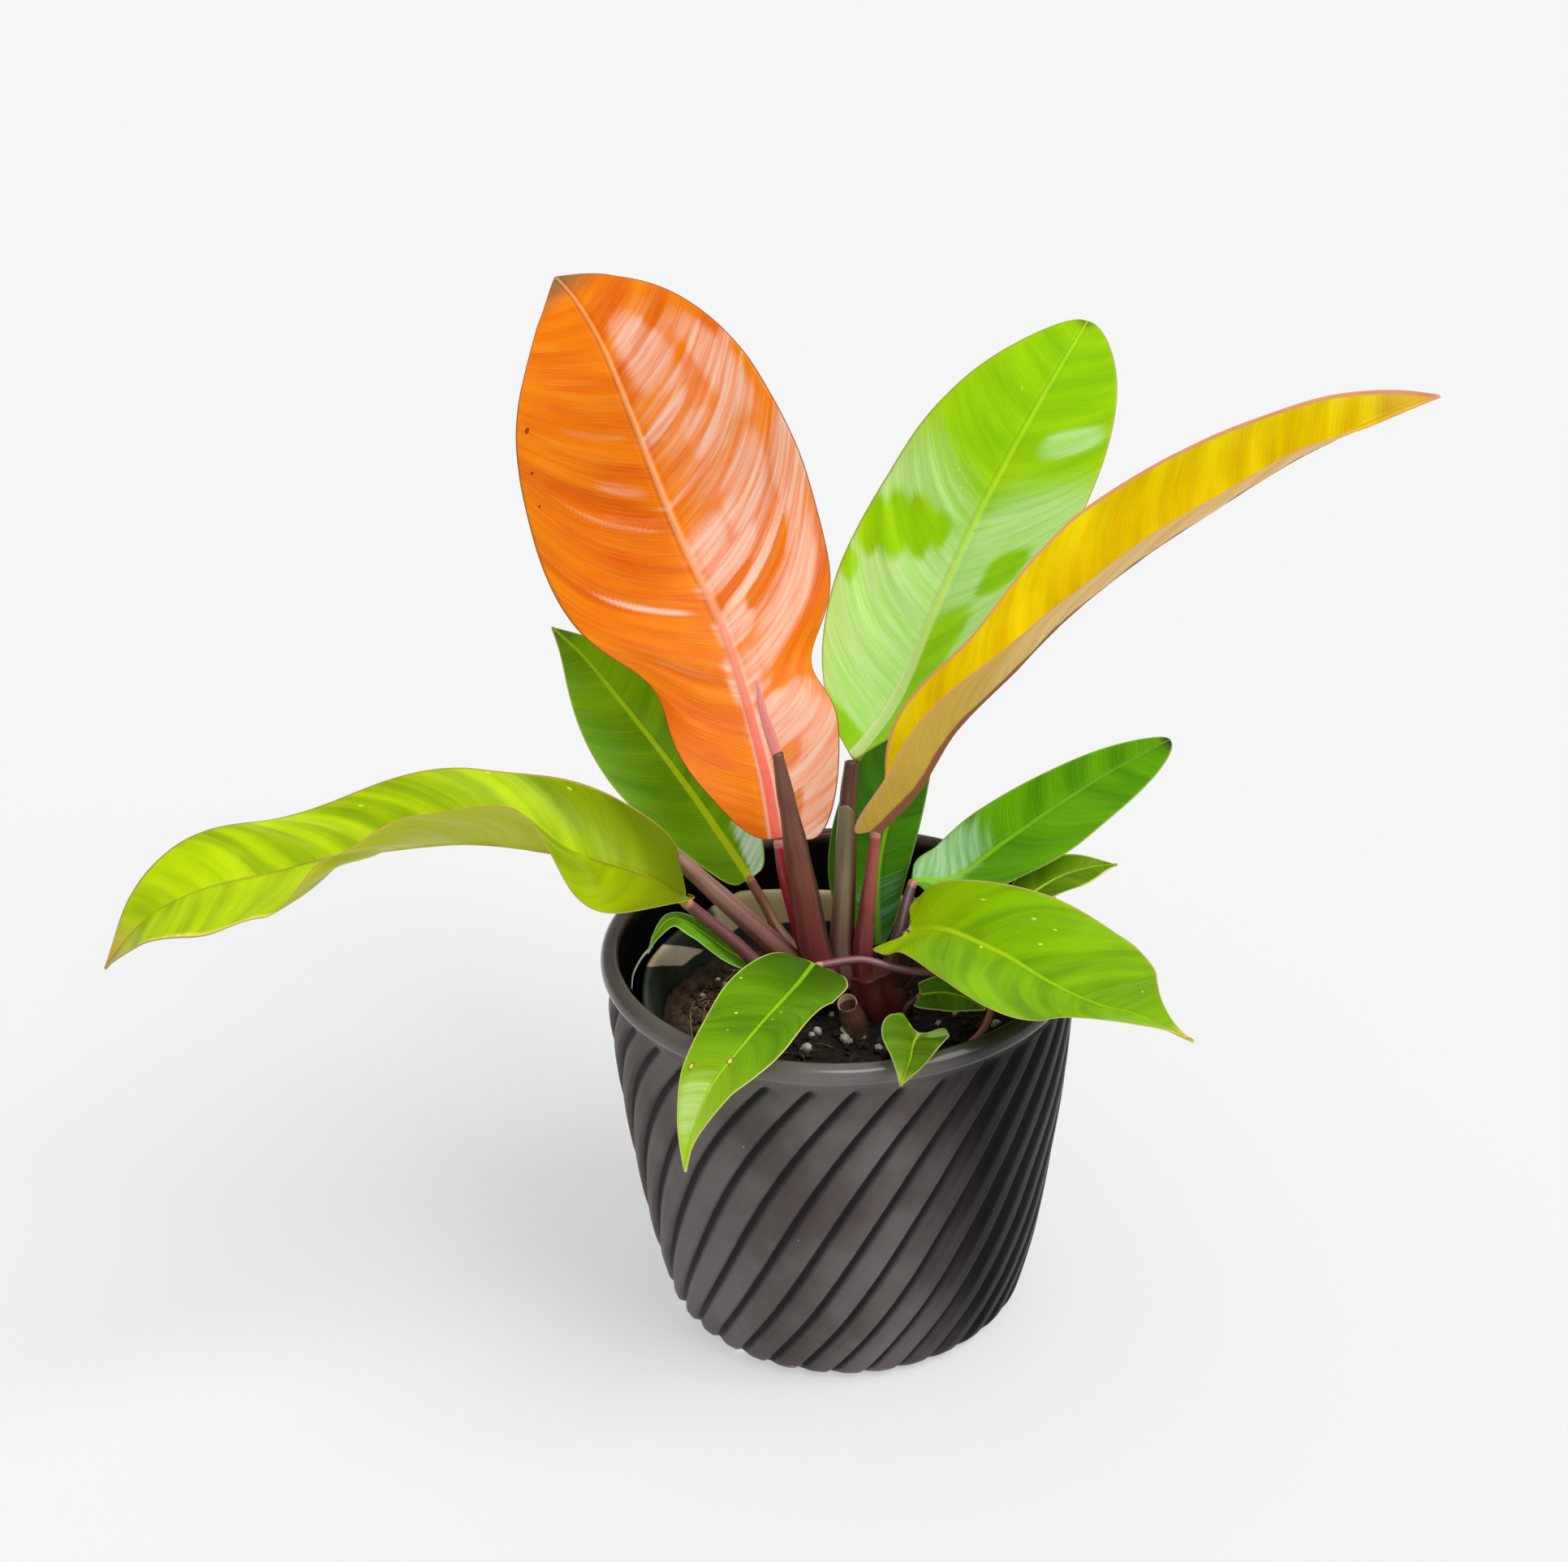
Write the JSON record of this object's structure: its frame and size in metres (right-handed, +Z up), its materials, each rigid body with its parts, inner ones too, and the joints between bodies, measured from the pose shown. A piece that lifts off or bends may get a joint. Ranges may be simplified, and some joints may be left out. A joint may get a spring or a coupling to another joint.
{
  "type": "potted prince of orange philodendron",
  "caption": "Foliage houseplant with orange, yellow and lime paddle leaves on red-brown stalks, in a soft nursery pot inside a charcoal ceramic cachepot with spiral flutes.",
  "frame": {"origin": "centre of the cachepot's flat foot, on the surface it stands on", "axes": "+Z up; the plant's front faces -Y, with the long lime leaf towards -X and the folded yellow leaf towards +X"},
  "size_m": [0.4218, 0.2399, 0.3252],
  "materials": {
    "charcoal_ceramic": "satin",
    "cream_plastic": "satin",
    "potting_mix": "matte",
    "crown_red": "satin",
    "maroon_stalk": "satin",
    "crimson_stalk": "gloss",
    "brown_sheath": "satin",
    "olive_sheath": "satin",
    "tan_scale": "satin",
    "pink_roll": "satin",
    "orange_leaf": "gloss",
    "yellow_leaf": "gloss",
    "lime_leaf": "gloss",
    "green_leaf": "gloss",
    "dark_leaf": "gloss"
  },
  "bodies": {
    "root": {"cachepot": "charcoal_ceramic", "nursery_pot": "cream_plastic", "potting_mix": "potting_mix", "crown": "crown_red", "petiole_green": "maroon_stalk", "new_leaf_roll": "pink_roll", "new_leaf_sheath": "brown_sheath", "sheath_green": "olive_sheath", "petiole_yellow": "maroon_stalk", "petiole_orange": "crimson_stalk", "sheath_left": "brown_sheath", "petiole_lime": "maroon_stalk", "petiole_back_left": "tan_scale", "petiole_right": "brown_sheath", "petiole_right_front": "crown_red", "stem_front": "maroon_stalk", "petiole_right_small": "brown_sheath", "petiole_inner_left": "maroon_stalk", "petiole_heart": "crown_red", "petiole_low": "brown_sheath", "scale_front": "tan_scale", "leaf_orange": "orange_leaf", "leaf_green": "lime_leaf", "leaf_yellow": "yellow_leaf", "leaf_lime": "lime_leaf", "leaf_back_left": "green_leaf", "leaf_right": "green_leaf", "leaf_right_front": "lime_leaf", "leaf_front_left": "lime_leaf", "leaf_heart": "green_leaf", "leaf_inner_left": "green_leaf", "leaf_back": "dark_leaf", "leaf_right_small": "dark_leaf", "leaf_low": "green_leaf"}
  },
  "joints": []
}
